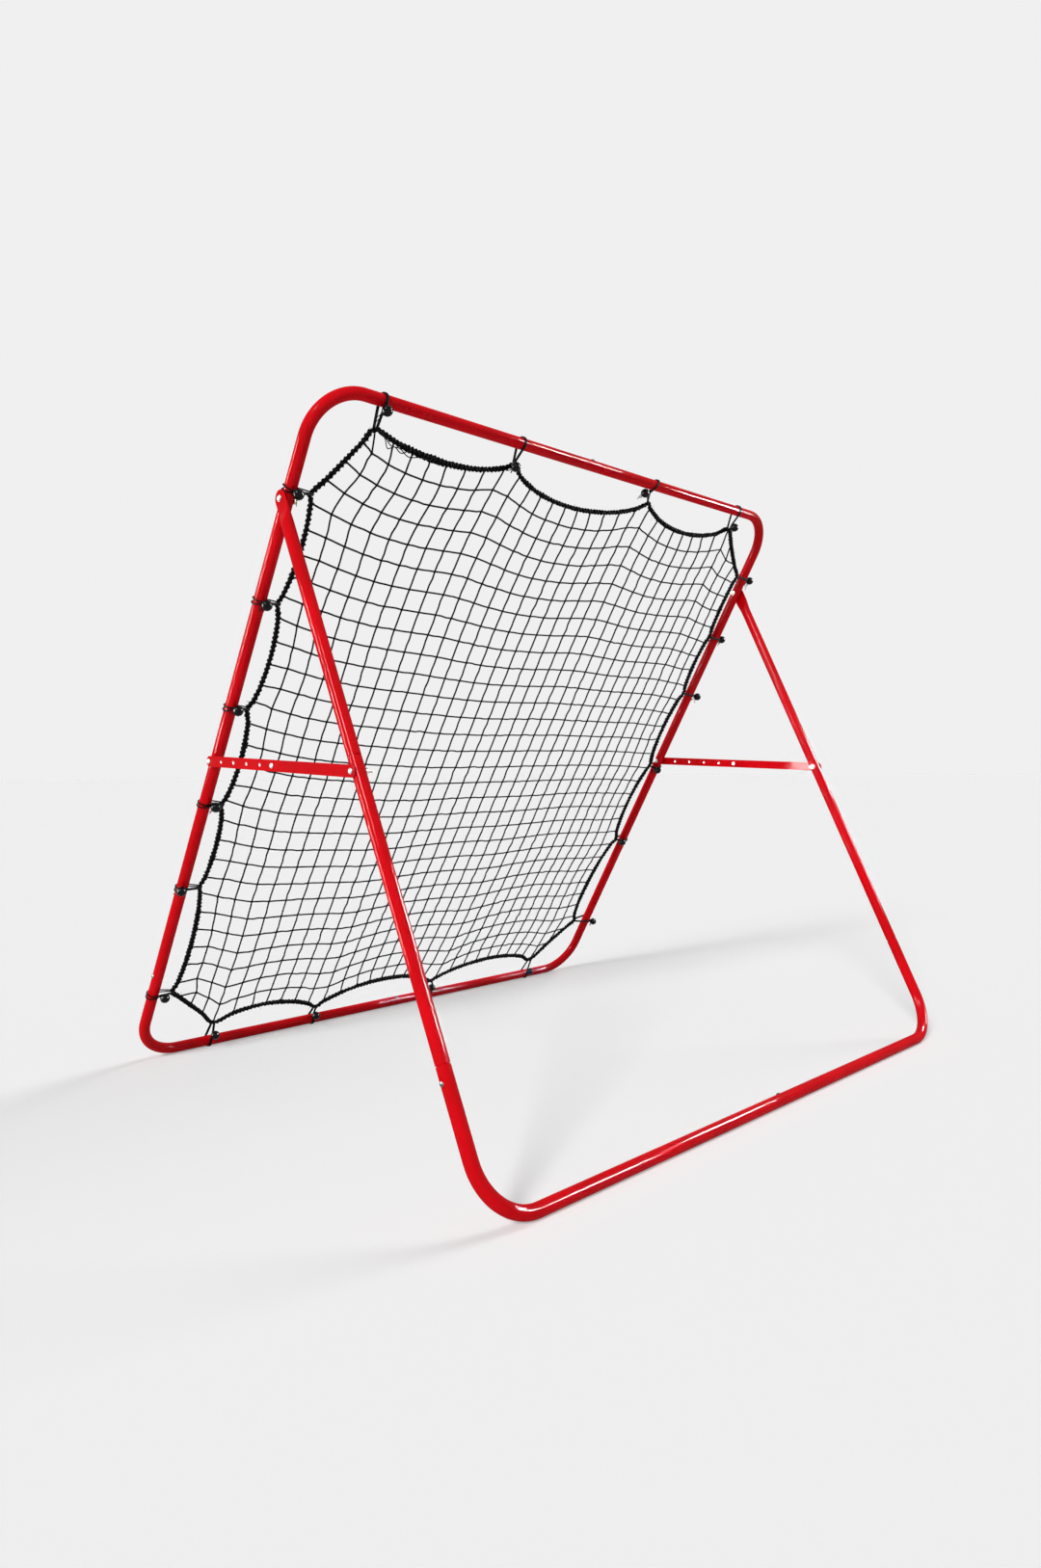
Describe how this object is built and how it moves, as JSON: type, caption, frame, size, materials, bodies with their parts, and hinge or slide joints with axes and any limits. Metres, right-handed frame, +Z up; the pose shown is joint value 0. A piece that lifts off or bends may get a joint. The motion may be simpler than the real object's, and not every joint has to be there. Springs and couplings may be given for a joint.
{
  "type": "pitch back rebounder",
  "caption": "Free-standing rebound net in a leaning tube frame, held up by a folding U-shaped leg frame with holed stays that set its angle.",
  "frame": {"origin": "on the ground, at the middle of the object's bounding box seen from above", "axes": "+X across to the right as seen from the leg frame's side, +Y from the leg frame's foot to the net frame's foot, +Z up"},
  "size_m": [1.5756, 1.287, 1.4046],
  "materials": {
    "tube_red": "gloss powder coat",
    "zinc": "bright zinc plate",
    "black_twine": "twisted polyethylene twine",
    "black_elastic": "braided cover over a rubber core",
    "black_ball": "gloss"
  },
  "bodies": {
    "net_frame": {"left_bottom_corner_tube": "tube_red", "left_lower_upright_tube": "tube_red", "left_upper_upright_tube": "tube_red", "left_top_corner_tube": "tube_red", "right_bottom_corner_tube": "tube_red", "right_lower_upright_tube": "tube_red", "right_upper_upright_tube": "tube_red", "right_top_corner_tube": "tube_red", "net_frame_joint_screws": "zinc", "pivot_bolts": "zinc", "pivot_washers": "zinc", "pivot_lock_nuts": "zinc", "upright_stay_bolts": "zinc", "upright_stay_washers": "zinc", "upright_stay_nuts": "zinc", "net": "black_twine", "border_rope": "black_twine", "left_elastic_loops": "black_elastic", "right_elastic_loops": "black_elastic", "top_elastic_loops": "black_elastic", "bottom_elastic_loops": "black_elastic", "left_balls": "black_ball", "right_balls": "black_ball", "top_balls": "black_ball", "bottom_balls": "black_ball"},
    "leg_frame": {"left_upper_leg_tube": "tube_red", "left_middle_leg_tube": "tube_red", "left_base_corner_tube": "tube_red", "right_upper_leg_tube": "tube_red", "right_middle_leg_tube": "tube_red", "right_base_corner_tube": "tube_red", "leg_frame_joint_screws": "zinc", "leg_stay_bolts": "zinc", "leg_stay_washers": "zinc", "leg_stay_nuts": "zinc"},
    "left_holed_stay": {"left_holed_bar": "tube_red", "left_middle_nut": "zinc", "left_middle_bolt_end": "zinc"},
    "left_plain_stay": {"left_plain_bar": "tube_red", "left_middle_bolt": "zinc"},
    "right_holed_stay": {"right_holed_bar": "tube_red", "right_middle_nut": "zinc", "right_middle_bolt_end": "zinc"},
    "right_plain_stay": {"right_plain_bar": "tube_red", "right_middle_bolt": "zinc"}
  },
  "joints": [
    {"name": "leg_fold", "type": "hinge", "parent": "net_frame", "child": "leg_frame", "pos_m": [0, -0.06065, 1.19748], "axis": [1, 0, 0], "range_deg": [0, 23.2]},
    {"name": "left_holed_stay_hinge", "type": "hinge", "parent": "net_frame", "child": "left_holed_stay", "pos_m": [-0.7645, 0.22235, 0.71077], "axis": [1, 0, 0], "range_deg": [0, 11.6]},
    {"name": "left_plain_stay_hinge", "type": "hinge", "parent": "leg_frame", "child": "left_plain_stay", "pos_m": [-0.78223, -0.30475, 0.69014], "axis": [1, 0, 0], "range_deg": [-11.6, 0]},
    {"name": "right_holed_stay_hinge", "type": "hinge", "parent": "net_frame", "child": "right_holed_stay", "pos_m": [0.7645, 0.22235, 0.71077], "axis": [1, 0, 0], "range_deg": [0, 11.6]},
    {"name": "right_plain_stay_hinge", "type": "hinge", "parent": "leg_frame", "child": "right_plain_stay", "pos_m": [0.78223, -0.30475, 0.69014], "axis": [1, 0, 0], "range_deg": [-11.6, 0]}
  ],
  "couplings": [
    {"joint": "left_holed_stay_hinge", "follows": "leg_fold", "ratio": 0.5},
    {"joint": "left_plain_stay_hinge", "follows": "leg_fold", "ratio": -0.5},
    {"joint": "right_holed_stay_hinge", "follows": "leg_fold", "ratio": 0.5},
    {"joint": "right_plain_stay_hinge", "follows": "leg_fold", "ratio": -0.5}
  ]
}
